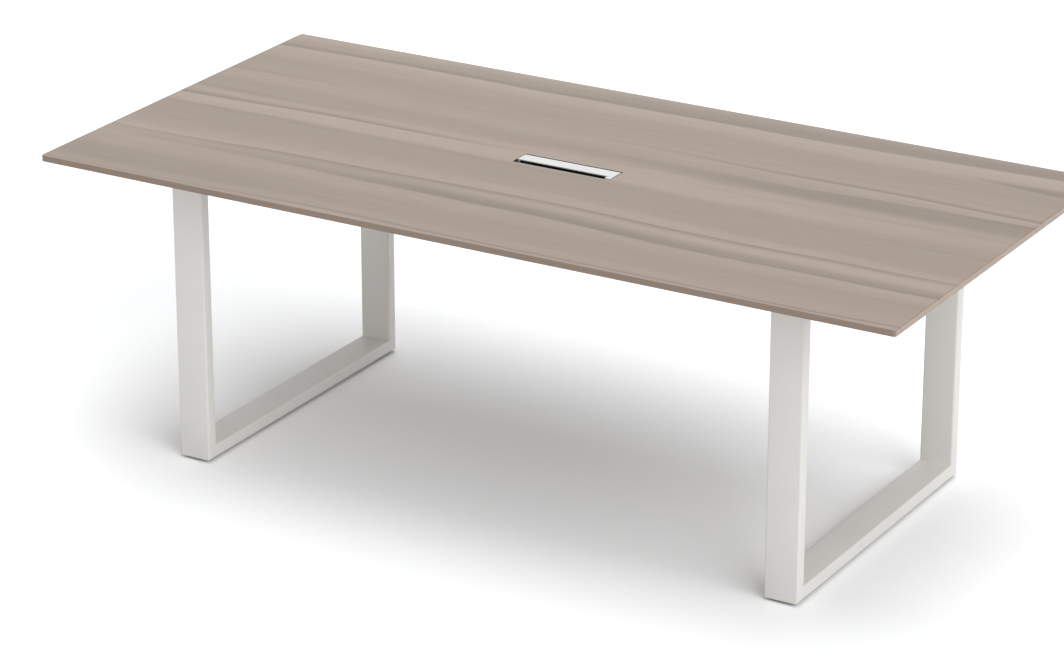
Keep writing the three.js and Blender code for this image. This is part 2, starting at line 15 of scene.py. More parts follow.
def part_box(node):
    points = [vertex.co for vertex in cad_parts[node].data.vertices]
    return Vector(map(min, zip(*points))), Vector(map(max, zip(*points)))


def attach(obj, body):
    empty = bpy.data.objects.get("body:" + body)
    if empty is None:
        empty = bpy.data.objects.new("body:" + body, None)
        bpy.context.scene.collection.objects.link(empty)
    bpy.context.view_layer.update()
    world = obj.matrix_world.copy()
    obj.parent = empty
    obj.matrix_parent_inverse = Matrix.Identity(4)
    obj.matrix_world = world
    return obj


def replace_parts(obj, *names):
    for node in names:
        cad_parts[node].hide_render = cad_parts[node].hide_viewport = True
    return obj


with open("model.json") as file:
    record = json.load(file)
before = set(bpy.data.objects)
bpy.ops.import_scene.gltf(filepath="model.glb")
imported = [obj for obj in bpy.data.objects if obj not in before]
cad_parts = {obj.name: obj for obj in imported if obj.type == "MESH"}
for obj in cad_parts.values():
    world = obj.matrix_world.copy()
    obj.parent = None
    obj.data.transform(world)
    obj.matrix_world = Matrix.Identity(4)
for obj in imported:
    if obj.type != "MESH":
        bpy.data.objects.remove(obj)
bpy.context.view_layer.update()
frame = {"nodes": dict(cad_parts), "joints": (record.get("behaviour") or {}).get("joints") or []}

LOG = logging.getLogger("conference_table")

Point = tuple[float, float, float]
Range = tuple[float, float]
Outline = list[tuple[float, float]]
Ring = list[Vector]
Radius = Callable[[float], float]
Mesh = bpy.types.Mesh
Node = bpy.types.Node
NodeTree = bpy.types.NodeTree
Socket = bpy.types.NodeSocket
Sockets = bpy.types.bpy_prop_collection
Feeds = dict[str | int, object]
Kinds = dict[str, str]

MM = 0.001
TINY = 1e-6
SHARP_ANGLE = math.radians(32)
RAIL_BOLT_OFFSET = 25 * MM
TABLE_BODY = "table"
LID_BODY = "lid"
FLOAT = "NodeSocketFloat"
COLOR = "NodeSocketColor"
VECTOR = "NodeSocketVector"
RISING = (0.0, 1.0)
FALLING = (1.0, 0.0)
MIX_SHARE, MIX_FIRST, MIX_SECOND, MIX_RESULT = 0, 6, 7, 2


class Slot(Enum):
    """The record's material slots."""

    WOOD = "wood_decor"
    EDGE = "edge_brown"
    BOARD = "board"
    BACKING = "backing"
    LEG = "leg_paint"
    RAIL = "rail_paint"
    ZINC = "zinc_steel"
    BRASS = "insert_brass"
    BLACK = "black_plastic"
    LID = "lid_aluminium"
    WHITE = "white_plastic"


class Pair(Enum):
    """One of two opposite places."""

    @property
    def sign(self) -> int:
        """-1 for the first place and 1 for the second."""
        return -1 if self is next(iter(type(self))) else 1


class Side(Pair):
    """The two ends of the table that carry a leg loop, from -X to +X."""

    LEFT = "left"
    RIGHT = "right"


class End(Pair):
    """The front and the rear of the table, from -Y to +Y."""

    FRONT = "front"
    REAR = "rear"


class Wing(Pair):
    """The two bolts of a fixing plate."""

    INNER = "inner"
    OUTER = "outer"


@dataclass(frozen=True)
class Noise:
    """A noise texture: its cells a metre, overall or by axis, its octaves and what each finer one keeps."""

    scale: object
    octaves: float = 2.0
    falloff: float = 0.5


class Graph:
    """A shader node tree with short calls for the nodes that the finishes use."""

    def __init__(self, tree: NodeTree) -> None:
        """Keeps the node tree of a material, a node group or the world."""
        self.tree = tree

    def fill(self, node: Node, inputs: Feeds) -> None:
        """Links a node's inputs to output sockets, or sets them to constants.

        Args:
            node: The node.
            inputs: A socket or a constant for each input's name or index; a colour has three numbers.
        """
        for key, value in inputs.items():
            socket = node.inputs[key]
            if isinstance(value, Socket):
                self.tree.links.new(value, socket)
            else:
                socket.default_value = (*value, 1.0) if socket.type == "RGBA" else value

    def add(self, kind: str, inputs: Feeds | None = None, **settings: object) -> Node:
        """Adds a node.

        Args:
            kind: The node's type name.
            inputs: What its inputs are filled with.
            settings: Attributes to set on the node.

        Returns:
            The new node.
        """
        node = self.tree.nodes.new(kind)
        for name, value in settings.items():
            setattr(node, name, value)
        self.fill(node, inputs or {})
        return node

    def math(self, operation: str, first: object, second: object = 0.0) -> Socket:
        """The result of a math operation on sockets or numbers."""
        return self.add("ShaderNodeMath", {0: first, 1: second}, operation=operation).outputs[0]

    def times(self, *factors: object) -> Socket:
        """The product of sockets or numbers."""
        return reduce(partial(self.math, "MULTIPLY"), factors)

    def vector(self, operation: str, first: Socket, second: object) -> Socket:
        """The result of a vector operation, such as ADD or MULTIPLY by axis."""
        return self.add("ShaderNodeVectorMath", {0: first, 1: second}, operation=operation).outputs[0]

    def noise(self, point: Socket, noise: Noise) -> Socket:
        """Reads a noise texture.

        Args:
            point: The texture coordinate's socket.
            noise: The texture.

        Returns:
            The socket of a value from 0 to 1.
        """
        scale = noise.scale
        if isinstance(scale, tuple):
            point = self.vector("MULTIPLY", point, scale)
            scale = 1.0
        feeds = {"Vector": point, "Scale": scale, "Detail": noise.octaves, "Roughness": noise.falloff}
        return self.add("ShaderNodeTexNoise", feeds).outputs["Fac"]

    def remap(self, value: object, span: Range, onto: Range = RISING) -> Socket:
        """Maps a span of values smoothly onto another."""
        feeds = dict(zip(("Value", "From Min", "From Max", "To Min", "To Max"), (value, *span, *onto)))
        return self.add("ShaderNodeMapRange", feeds, interpolation_type="SMOOTHSTEP").outputs["Result"]

    def mix(self, share: object, first: object, second: object) -> Socket:
        """The first colour with a share of the second over it."""
        feeds = {MIX_SHARE: share, MIX_FIRST: first, MIX_SECOND: second}
        return self.add("ShaderNodeMix", feeds, data_type="RGBA").outputs[MIX_RESULT]

    def place(self) -> Socket:
        """The point on the object in the frame's metres."""
        return self.add("ShaderNodeTexCoord").outputs["Object"]

    def facing(self) -> Socket:
        """The direction that the surface faces."""
        return self.add("ShaderNodeNewGeometry").outputs["Normal"]

    def axis(self, vector: Socket, name: str) -> Socket:
        """A vector's X, Y or Z."""
        return self.add("ShaderNodeSeparateXYZ", {0: vector}).outputs[name]

    def seen(self) -> Socket:
        """1 for what the camera sees, straight or mirrored, and 0 for what only lights the scene."""
        rays = self.add("ShaderNodeLightPath").outputs
        return self.math("MAXIMUM", rays["Is Camera Ray"], rays["Is Glossy Ray"])


GROUPS: dict["Effect", NodeTree] = {}


@dataclass(frozen=True)
class Effect:
    """A look that finishes share, made once as a shader node group."""

    name: ClassVar[str]
    takes: ClassVar[Kinds]
    gives: ClassVar[Kinds]

    def wire(self, graph: Graph, source: Sockets) -> Feeds:
        """Adds the group's nodes.

        Args:
            graph: The group's graph.
            source: The group's inputs.

        Returns:
            A socket for each output.
        """
        raise NotImplementedError

    def group(self) -> NodeTree:
        """Makes the node group on first use.

        Returns:
            The group's tree.
        """
        if self not in GROUPS:
            tree = bpy.data.node_groups.new(self.name, "ShaderNodeTree")
            for way, kinds in (("INPUT", self.takes), ("OUTPUT", self.gives)):
                for label, kind in kinds.items():
                    tree.interface.new_socket(name=label, in_out=way, socket_type=kind)
            graph = Graph(tree)
            results = self.wire(graph, graph.add("NodeGroupInput").outputs)
            graph.add("NodeGroupOutput", results)
            GROUPS[self] = tree
        return GROUPS[self]

    def use(self, graph: Graph, inputs: Feeds) -> Sockets:
        """Places the group in a material and gives its outputs."""
        return graph.add("ShaderNodeGroup", inputs, node_tree=self.group()).outputs


@dataclass(frozen=True)
class LongGrain(Effect):
    """The figure of sawn wood along X: broad bands, dark streaks, fibres and pores."""

    name: ClassVar[str] = "long_grain"
    takes: ClassVar[Kinds] = {"Point": VECTOR}
    gives: ClassVar[Kinds] = {"Band": FLOAT, "Streak": FLOAT, "Fibre": FLOAT, "Height": FLOAT}
    drift: Noise = Noise((0.9, 1.6, 1.6), 2.0, 0.45)
    drift_middle: float = 0.5
    drift_reach: float = 0.10
    slice_level: float = 1.48
    band: Noise = Noise((0.16, 6.0, 6.0), 2.0, 0.45)
    band_span: Range = (0.32, 0.68)
    ring: Noise = Noise((0.12, 6.5, 6.5), 1.0, 0.35)
    ring_count: float = 5.0
    onset_span: Range = (0.0, 0.04)
    fade_span: Range = (0.04, 0.42)
    patch: Noise = Noise((0.7, 6.5, 6.5), 1.0)
    patch_span: Range = (0.36, 0.60)
    fibre: Noise = Noise((7.0, 420.0, 420.0), 3.0, 0.55)
    fibre_span: Range = (0.3, 0.72)
    pore: Noise = Noise((38.0, 1500.0, 1500.0), 1.0)
    pore_span: Range = (0.30, 0.42)

    def wire(self, graph: Graph, source: Sockets) -> Feeds:
        """Bends the grain a little, then draws its masks and its height.

        Args:
            graph: The group's graph.
            source: The group's inputs.

        Returns:
            A socket for each output.
        """
        sway = graph.math("SUBTRACT", graph.noise(source["Point"], self.drift), self.drift_middle)
        shift = {"Y": graph.times(sway, self.drift_reach), "Z": self.slice_level}
        path = graph.vector("ADD", source["Point"], graph.add("ShaderNodeCombineXYZ", shift).outputs[0])
        phase = graph.math("FRACT", graph.times(graph.noise(path, self.ring), self.ring_count))
        fade = graph.remap(phase, self.fade_span, FALLING)
        onset = graph.remap(phase, self.onset_span)
        patch = graph.remap(graph.noise(path, self.patch), self.patch_span)
        return {
            "Band": graph.remap(graph.noise(path, self.band), self.band_span),
            "Streak": graph.times(fade, onset, patch),
            "Fibre": graph.remap(graph.noise(path, self.fibre), self.fibre_span),
            "Height": graph.remap(graph.noise(path, self.pore), self.pore_span),
        }


@dataclass(frozen=True)
class FinePeel(Effect):
    """The skin of powder coat and moulded plastic: a fine dimpled height and a slow tone."""

    name: ClassVar[str] = "fine_peel"
    takes: ClassVar[Kinds] = {"Scale": FLOAT}
    gives: ClassVar[Kinds] = {"Height": FLOAT, "Tone": FLOAT}
    octaves: float = 2.0
    falloff: float = 0.55
    tone: Noise = Noise(3.2, 3.0, 0.55)
    tone_span: Range = (0.3, 0.7)

    def wire(self, graph: Graph, source: Sockets) -> Feeds:
        """Draws the dimples and the tone.

        Args:
            graph: The group's graph.
            source: The group's inputs.

        Returns:
            A socket for each output.
        """
        point = graph.place()
        dimples = Noise(source["Scale"], self.octaves, self.falloff)
        tone = graph.remap(graph.noise(point, self.tone), self.tone_span)
        return {"Height": graph.noise(point, dimples), "Tone": tone}


@dataclass(frozen=True)
class WearAndShade(Effect):
    """Traces of use, dust on faces that look up and scuffs low down, and painted shade darkening
    down-facing faces close over the floor.
    """

    name: ClassVar[str] = "wear_and_shade"
    takes: ClassVar[Kinds] = {"Color": COLOR, "Dust": FLOAT, "Scuff": FLOAT, "Underside Shade": FLOAT}
    gives: ClassVar[Kinds] = {"Color": COLOR, "Mask": FLOAT}
    dust_color: Point = (0.55, 0.53, 0.50)
    scuff_color: Point = (0.30, 0.285, 0.27)
    # The dark colour of the painted shade on down-facing faces just over the floor.
    underside_shade_color: Point = (0.15, 0.143, 0.135)
    up_span: Range = (0.55, 1.0)
    cloud: Noise = Noise(9.0, 5.0, 0.6)
    cloud_span: Range = (0.35, 0.75)
    scuff_height: Range = (0.02, 0.16)
    rub: Noise = Noise((26.0, 26.0, 90.0), 4.0, 0.65)
    rub_span: Range = (0.6, 0.72)
    down_span: Range = (-0.95, -0.6)
    # The heights over which the painted shade fades out above the floor.
    underside_shade_height: Range = (0.007, 0.012)

    def wire(self, graph: Graph, source: Sockets) -> Feeds:
        """Lays dust, then scuffs, then painted shade on faces just over the floor, over the colour.

        Args:
            graph: The group's graph.
            source: The group's inputs.

        Returns:
            A socket for each output.
        """
        point = graph.place()
        up, height = graph.axis(graph.facing(), "Z"), graph.axis(point, "Z")
        cloud = graph.remap(graph.noise(point, self.cloud), self.cloud_span)
        dust = graph.times(graph.remap(up, self.up_span), cloud, source["Dust"])
        rub = graph.remap(graph.noise(point, self.rub), self.rub_span)
        scuff = graph.times(graph.remap(height, self.scuff_height, FALLING), rub, source["Scuff"])
        # Painted shade: down-facing faces within about a centimetre of the floor are darkened, standing in
        # for the shadow in the gap under the feet.
        near = graph.remap(height, self.underside_shade_height, FALLING)
        underside_shade = graph.times(graph.remap(up, self.down_span, FALLING), near, source["Underside Shade"])
        dusty = graph.mix(dust, source["Color"], self.dust_color)
        scuffed = graph.mix(scuff, dusty, self.scuff_color)
        shaded_underside = graph.mix(underside_shade, scuffed, self.underside_shade_color)
        return {"Color": shaded_underside, "Mask": graph.math("MAXIMUM", dust, scuff)}


@dataclass(frozen=True)
class Brushing(Effect):
    """Fine lines drawn along X, as on brushed or extruded metal."""

    name: ClassVar[str] = "brushing"
    takes: ClassVar[Kinds] = {"Point": VECTOR}
    gives: ClassVar[Kinds] = {"Height": FLOAT, "Tone": FLOAT}
    line: Noise = Noise((14.0, 2600.0, 2600.0), 2.0, 0.6)
    tone: Noise = Noise(18.0, 3.0, 0.5)
    tone_span: Range = (0.3, 0.7)

    def wire(self, graph: Graph, source: Sockets) -> Feeds:
        """Draws the lines and the tone."""
        tone = graph.remap(graph.noise(source["Point"], self.tone), self.tone_span)
        return {"Height": graph.noise(source["Point"], self.line), "Tone": tone}


MATERIALS: dict["Finish", bpy.types.Material] = {}


@dataclass(frozen=True)
class Finish:
    """A surface finish with its slot in the record and its middling roughness."""

    slot: Slot
    roughness: float

    def material(self) -> bpy.types.Material:
        """Makes the finish's material on first use.

        Returns:
            The material.
        """
        if self not in MATERIALS:
            made = bpy.data.materials.new(f"{self.slot.value}_finish")
            made.use_nodes = True
            graph = Graph(made.node_tree)
            graph.fill(made.node_tree.nodes["Principled BSDF"], self.paint(graph))
            MATERIALS[self] = made
        return MATERIALS[self]

    def paint(self, graph: Graph) -> Feeds:
        """Adds the material's nodes.

        Args:
            graph: The material's graph.

        Returns:
            What to fill the main shader's inputs with.
        """
        raise NotImplementedError

    def gloss(self, offsets: Range) -> Range:
        """The roughness with each of two offsets added."""
        return (self.roughness + offsets[0], self.roughness + offsets[1])

    def bump(self, graph: Graph, height: Socket, depth: float) -> Socket:
        """The normal of a surface raised by a height from 0 to 1 times a depth in metres."""
        feeds = {"Strength": 1.0, "Distance": depth, "Height": height}
        return graph.add("ShaderNodeBump", feeds).outputs["Normal"]


@dataclass(frozen=True)
class WoodFinish(Finish):
    """Matt wood decor with its grain along X, with painted light: paler on faces that look along X."""

    light: Point
    dark: Point
    streak: Point
    streak_share: float
    # Painted light: faces that look along X, either way, are mixed towards a paler colour.
    end_light_share: float = 0.0
    end_light_color: Point = (0.560, 0.470, 0.395)
    end_light_span: Range = (0.7, 0.98)
    fibre_share: float = 0.15
    fibre_gloss: Range = (0.06, -0.04)
    specular: float = 0.35
    pore_depth: float = 0.03 * MM

    def paint(self, graph: Graph) -> Feeds:
        """Mixes bands, fibres and streaks into the colour, then paints light on faces that look along X.

        Args:
            graph: The material's graph.

        Returns:
            What to fill the main shader's inputs with.
        """
        grain = LongGrain().use(graph, {"Point": graph.place()})
        banded = graph.mix(grain["Band"], self.dark, self.light)
        fibre = graph.times(graph.math("SUBTRACT", 1.0, grain["Fibre"]), self.fibre_share)
        fibrous = graph.mix(fibre, banded, self.streak)
        figured = graph.mix(graph.times(grain["Streak"], self.streak_share), fibrous, self.streak)
        # Painted light: the paler colour on faces that look along X stands in for light falling on the
        # table's ends.
        along = graph.math("ABSOLUTE", graph.axis(graph.facing(), "X"))
        end_light = graph.remap(along, self.end_light_span, (0.0, self.end_light_share))
        return {
            "Base Color": graph.mix(end_light, figured, self.end_light_color),
            "Roughness": graph.remap(grain["Fibre"], RISING, self.gloss(self.fibre_gloss)),
            "Specular IOR Level": self.specular,
            "Normal": self.bump(graph, grain["Height"], self.pore_depth),
        }


@dataclass(frozen=True)
class CoatFinish(Finish):
    """Powder coat or moulded plastic: a dimpled skin with a slow drift of tone, dust, scuffs and painted
    shade on faces just over the floor.
    """

    color: Point
    shade: Point
    peel_scale: float
    peel_depth: float
    dust: float
    scuff: float = 0.0
    # Share of painted shade on down-facing faces just over the floor.
    underside_shade: float = 0.0
    tone_gloss: Range = (0.05, -0.03)
    dulling: float = 0.25
    specular: float = 0.5

    def paint(self, graph: Graph) -> Feeds:
        """Mixes the tone, then lays the traces of use and the painted underside shade over it.

        Args:
            graph: The material's graph.

        Returns:
            What to fill the main shader's inputs with.
        """
        peel = FinePeel().use(graph, {"Scale": self.peel_scale})
        color = graph.mix(peel["Tone"], self.shade, self.color)
        # The colour gets real dust and scuffs, then painted shade on the underside near the floor.
        wear_and_shade_feeds = {"Color": color, "Dust": self.dust, "Scuff": self.scuff, "Underside Shade": self.underside_shade}
        worn_and_shaded = WearAndShade().use(graph, wear_and_shade_feeds)
        sheen = graph.remap(peel["Tone"], RISING, self.gloss(self.tone_gloss))
        return {
            "Base Color": worn_and_shaded["Color"],
            "Roughness": graph.math("ADD", sheen, graph.times(worn_and_shaded["Mask"], self.dulling)),
            "Specular IOR Level": self.specular,
            "Normal": self.bump(graph, peel["Height"], self.peel_depth),
        }


@dataclass(frozen=True)
class MetalFinish(Finish):
    """Drawn, plated or anodised metal with fine lines along X."""

    color: Point
    shade: Point
    metallic: float = 1.0
    line_span: Range = (0.25, 0.75)
    line_gloss: Range = (-0.05, 0.08)
    line_depth: float = 0.012 * MM

    def paint(self, graph: Graph) -> Feeds:
        """Drifts the tone and draws the lines.

        Args:
            graph: The material's graph.

        Returns:
            What to fill the main shader's inputs with.
        """
        lines = Brushing().use(graph, {"Point": graph.place()})
        return {
            "Base Color": graph.mix(lines["Tone"], self.shade, self.color),
            "Metallic": self.metallic,
            "Roughness": graph.remap(lines["Height"], self.line_span, self.gloss(self.line_gloss)),
            "Normal": self.bump(graph, lines["Height"], self.line_depth),
        }


@dataclass(frozen=True)
class BoardFinish(Finish):
    """Sealed board or backing sheet: speckled chips under a thin seal."""

    color: Point
    chip: Point
    speck: Noise = Noise(420.0, 3.0, 0.6)
    speck_span: Range = (0.35, 0.7)
    cloud: Noise = Noise(7.0, 3.0, 0.5)
    cloud_span: Range = (0.2, 0.8)
    cloud_share: Range = (0.35, 0.8)
    speck_gloss: Range = (0.0, -0.1)
    pit_depth: float = 0.04 * MM

    def paint(self, graph: Graph) -> Feeds:
        """Speckles the colour and pits the surface slightly.

        Args:
            graph: The material's graph.

        Returns:
            What to fill the main shader's inputs with.
        """
        point = graph.place()
        speck = graph.remap(graph.noise(point, self.speck), self.speck_span)
        cloud = graph.remap(graph.noise(point, self.cloud), self.cloud_span, self.cloud_share)
        return {
            "Base Color": graph.mix(graph.times(speck, cloud), self.color, self.chip),
            "Roughness": graph.remap(speck, RISING, self.gloss(self.speck_gloss)),
            "Normal": self.bump(graph, speck, self.pit_depth),
        }


WOOD = WoodFinish(
    Slot.WOOD, 0.52, (0.459, 0.382, 0.321), (0.359, 0.296, 0.250), (0.226, 0.183, 0.153),
    streak_share=0.70,
)
EDGE = WoodFinish(
    Slot.EDGE, 0.5, (0.350, 0.268, 0.212), (0.285, 0.215, 0.170), (0.180, 0.130, 0.100),
    # The band's ends along X get painted light, paler than its sides.
    streak_share=0.5, end_light_share=0.55,
)
BOARD = BoardFinish(Slot.BOARD, 0.68, (0.200, 0.150, 0.118), (0.265, 0.205, 0.165))
BACKING = BoardFinish(Slot.BACKING, 0.6, (0.300, 0.262, 0.232), (0.340, 0.300, 0.268))
LEG = CoatFinish(
    Slot.LEG, 0.42, (0.890, 0.870, 0.840), (0.855, 0.835, 0.806),
    # The last share paints shade on the foot beams' undersides, just over the floor.
    peel_scale=900.0, peel_depth=0.03 * MM, dust=0.03, scuff=0.04, underside_shade=0.85,
)
RAIL = CoatFinish(
    Slot.RAIL, 0.48, (0.034, 0.034, 0.036), (0.026, 0.026, 0.028),
    peel_scale=900.0, peel_depth=0.03 * MM, dust=0.12,
)
BLACK = CoatFinish(
    Slot.BLACK, 0.55, (0.016, 0.016, 0.017), (0.011, 0.011, 0.012),
    peel_scale=2200.0, peel_depth=0.04 * MM, dust=0.06,
)
WHITE = CoatFinish(
    Slot.WHITE, 0.38, (0.800, 0.765, 0.740), (0.760, 0.725, 0.700),
    peel_scale=2200.0, peel_depth=0.02 * MM, dust=0.1,
)
LID = MetalFinish(Slot.LID, 0.36, (0.800, 0.802, 0.798), (0.760, 0.761, 0.756), 0.25)
ZINC = MetalFinish(Slot.ZINC, 0.34, (0.600, 0.605, 0.610), (0.500, 0.505, 0.515))
BRASS = MetalFinish(Slot.BRASS, 0.3, (0.700, 0.500, 0.170), (0.600, 0.420, 0.140))


def new_object(name: str, data: bpy.types.ID) -> bpy.types.Object:
    """Puts a mesh, lamp or camera in the scene.

    Args:
        name: The object's name.
        data: What the object shows.

    Returns:
        The new object.
    """
    made = bpy.data.objects.new(name, data)
    bpy.context.scene.collection.objects.link(made)
    return made


def dress(shown: bpy.types.Object, finish: Finish) -> None:
    """Gives a piece or a CAD node its finish.

    Args:
        shown: The piece or node.
        finish: Its finish.
    """
    shown.data.materials.clear()
    shown.data.materials.append(finish.material())


def show_piece(name: str, mesh: Mesh, finish: Finish, body: str = TABLE_BODY) -> bpy.types.Object:
    """Puts a mesh in the scene as a piece of the table.

    Args:
        name: The piece's name.
        mesh: Its mesh, in the frame's metres.
        finish: Its finish.
        body: The body that it rides on.

    Returns:
        The new object.
    """
    mesh.shade_smooth()
    mesh.set_sharp_from_angle(angle=SHARP_ANGLE)
    piece = new_object(name, mesh)
    dress(piece, finish)
    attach(piece, body)
    LOG.info("made %s on %s, %d faces", name, body, len(mesh.polygons))
    return piece


def stand_for(node: str, mesh: Mesh, finish: Finish, body: str = TABLE_BODY) -> bpy.types.Object:
    """Shows a mesh with a finish, on a body, in place of a CAD node."""
    piece = show_piece(f"{node}_shape", mesh, finish, body)
    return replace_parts(piece, node)


def keep_node(node: str, finish: Finish) -> None:
    """Keeps a CAD node in view and gives it its finish."""
    dress(frame["nodes"][node], finish)
    LOG.info("dressed %s", node)


def mesh_from_rings(name: str, rings: Sequence[Ring], closed: bool = False) -> Mesh:
    """Joins rings of equal count into a skin.

    Args:
        name: The mesh's name.
        rings: The rings in order.
        closed: Whether the last ring joins the first; otherwise both ends are capped.

    Returns:
        A closed mesh with its faces pointing out.
    """
    work = bmesh.new()
    loops = [[work.verts.new(point) for point in ring] for ring in rings]
    count = len(loops[0])
    pairs = list(zip(loops, loops[1:])) + ([(loops[-1], loops[0])] if closed else [])
    for here, there in pairs:
        for step in range(count):
            after = (step + 1) % count
            work.faces.new((here[step], here[after], there[after], there[step]))
    if not closed:
        work.faces.new(loops[0][::-1])
        work.faces.new(loops[-1])
    bmesh.ops.recalc_face_normals(work, faces=work.faces)
    mesh = bpy.data.meshes.new(name)
    work.to_mesh(mesh)
    work.free()
    return mesh


def rounded(width: float, depth: float, radius: float, steps: int = 6) -> Outline:
    """A rectangle with round corners about the origin.

    Args:
        width: The size along the first axis.
        depth: The size along the second axis.
        radius: The corners' radius.
        steps: Straight steps in each corner.

    Returns:
        The outline's points, anticlockwise.
    """
    points = []
    for quarter, (sx, sy) in enumerate([(1, 1), (-1, 1), (-1, -1), (1, -1)]):
        for step in range(steps + 1):
            turn = (quarter + step / steps) * math.pi / 2
            x = sx * (width / 2 - radius) + radius * math.cos(turn)
            y = sy * (depth / 2 - radius) + radius * math.sin(turn)
            points.append((x, y))
    return points


def flat_ring(outline: Outline, level: float) -> Ring:
    """An outline laid flat at a level."""
    return [Vector((x, y, level)) for x, y in outline]


def turned(radius: Radius, level: float, sides: int) -> Ring:
    """A ring about Z, at a level, whose radius depends on the angle."""
    angles = [2 * math.pi * step / sides for step in range(sides)]
    return [Vector((radius(a) * math.cos(a), radius(a) * math.sin(a), level)) for a in angles]


def quarter_turns(steps: int) -> list[float]:
    """The angles of a quarter turn in equal steps."""
    return [math.pi / 2 * step / steps for step in range(steps + 1)]


def round_ring(radius: float, level: float, sides: int = 48) -> Ring:
    """A circle about Z at a level."""
    return turned(lambda angle: radius, level, sides)


def hexagon_radius(across_flats: float) -> Radius:
    """The radius of a hexagon at each angle, from its size across flats."""
    sixth = math.pi / 3
    return lambda angle: across_flats / 2 / math.cos((angle + sixth / 2) % sixth - sixth / 2)


def cross_radius(arm: float, width: float, angle: float) -> float:
    """The radius of a cross recess at an angle.

    Args:
        arm: The length of an arm from the middle.
        width: The width of an arm.
        angle: The angle.

    Returns:
        The distance to the arm's tip or to its flank, whichever is nearer.
    """
    quarter = math.pi / 2
    offset = (angle + quarter / 2) % quarter - quarter / 2
    flank = width / 2 / max(abs(math.sin(offset)), TINY)
    return min(arm / math.cos(offset), flank)


def aimed(place: Vector, axis: Vector) -> Matrix:
    """The matrix that turns +Z along an axis and moves the origin to a place."""
    return Matrix.Translation(place) @ axis.to_track_quat("Z", "Y").to_matrix().to_4x4()


def moved(mesh: Mesh, matrix: Matrix) -> Mesh:
    """Copies a mesh and moves the copy.

    Args:
        mesh: The mesh, which stays as it is.
        matrix: The move.

    Returns:
        The moved copy.
    """
    copy = mesh.copy()
    copy.transform(matrix)
    return copy


def combined(base: Mesh, tools: Iterable[Mesh], operation: str) -> Mesh:
    """Cuts tools out of a mesh, or joins them to it.

    Args:
        base: The mesh to work on.
        tools: The closed meshes to cut or join.
        operation: DIFFERENCE or UNION.

    Returns:
        The result as a new mesh.
    """
    body = new_object("work_body", base)
    helpers = [new_object("work_tool", tool) for tool in tools]
    for helper in helpers:
        step = body.modifiers.new("step", "BOOLEAN")
        step.operation = operation
        step.solver = "EXACT"
        step.object = helper
    depsgraph = bpy.context.evaluated_depsgraph_get()
    made = bpy.data.meshes.new_from_object(body.evaluated_get(depsgraph), depsgraph=depsgraph)
    for helper in [*helpers, body]:
        bpy.data.objects.remove(helper)
    return made


def rail_bolt_places(end: End, side: Side, x: float) -> list[Vector]:
    """Finds the places of the bolts through a rail's end plate.

    Args:
        end: The front or the rear rail.
        side: The rail's left or right end.
        x: Where the places are along X.

    Returns:
        The front bolt's place and the rear one's.
    """
    low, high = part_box(f"{end.value}_rail_{side.value}_end_plate")
    middle = (low + high) / 2
    return [Vector((x, middle.y + ear.sign * RAIL_BOLT_OFFSET, middle.z)) for ear in End]


@dataclass
class TableTop:
    """The top: decor sheet, edge band, board with a bevelled underside and backing sheet."""

    band: float = 2 * MM
    arris: float = 0.9 * MM
    corner: float = 8 * MM
    glue: float = 0.05 * MM
    port_width: float = 60 * MM
    port_corner: float = 4 * MM
    corner_steps: int = 14
    arris_steps: int = 4

    def __post_init__(self) -> None:
        """Takes the outer sizes from the frame."""
        low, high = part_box("top_edge_band")
        self.length = high.x - low.x
        self.width = high.y - low.y
        self.bottom = low.z
        self.level = high.z

    def outline(self, inset: float) -> Outline:
        """The top's outline, drawn in by an inset."""
        size = (self.length - 2 * inset, self.width - 2 * inset)
        return rounded(*size, self.corner - inset, self.corner_steps)

    def band_mesh(self) -> Mesh:
        """Makes the edge band with eased arrises.

        Returns:
            The band's mesh.
        """
        turns = quarter_turns(self.arris_steps)
        eases = [(self.arris * (1 - math.sin(turn)), self.arris * (1 - math.cos(turn))) for turn in turns]
        lower = [(inset, self.bottom + rise) for inset, rise in eases]
        upper = [(inset, self.level - drop) for drop, inset in eases]
        section = [(self.band, self.bottom), *lower, *upper, (self.band, self.level)]
        rings = [flat_ring(self.outline(inset), level) for inset, level in section]
        return mesh_from_rings("edge_band", rings, closed=True)

    def decor_mesh(self) -> Mesh:
        """Makes the decor sheet with the port's cut-out.

        Returns:
            The sheet's mesh.
        """
        low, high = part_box("top_laminate")
        sleeve_low, sleeve_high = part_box("hinge_pin_left")[0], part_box("hinge_pin_right")[1]
        size = (sleeve_high.x - sleeve_low.x + 2 * self.glue, self.port_width + 2 * self.glue)
        hole = rounded(*size, self.port_corner, self.corner_steps)
        outer = self.outline(self.band + self.glue)
        corners = ((outer, low.z), (outer, high.z), (hole, high.z), (hole, low.z))
        rings = [flat_ring(outline, level) for outline, level in corners]
        return mesh_from_rings("decor", rings, closed=True)

    def build(self) -> None:
        """Builds the sheet and the band, and dresses the board and the backing."""
        stand_for("top_edge_band", self.band_mesh(), EDGE)
        stand_for("top_laminate", self.decor_mesh(), WOOD)
        keep_node("top_core", BOARD)
        keep_node("top_backer", BACKING)


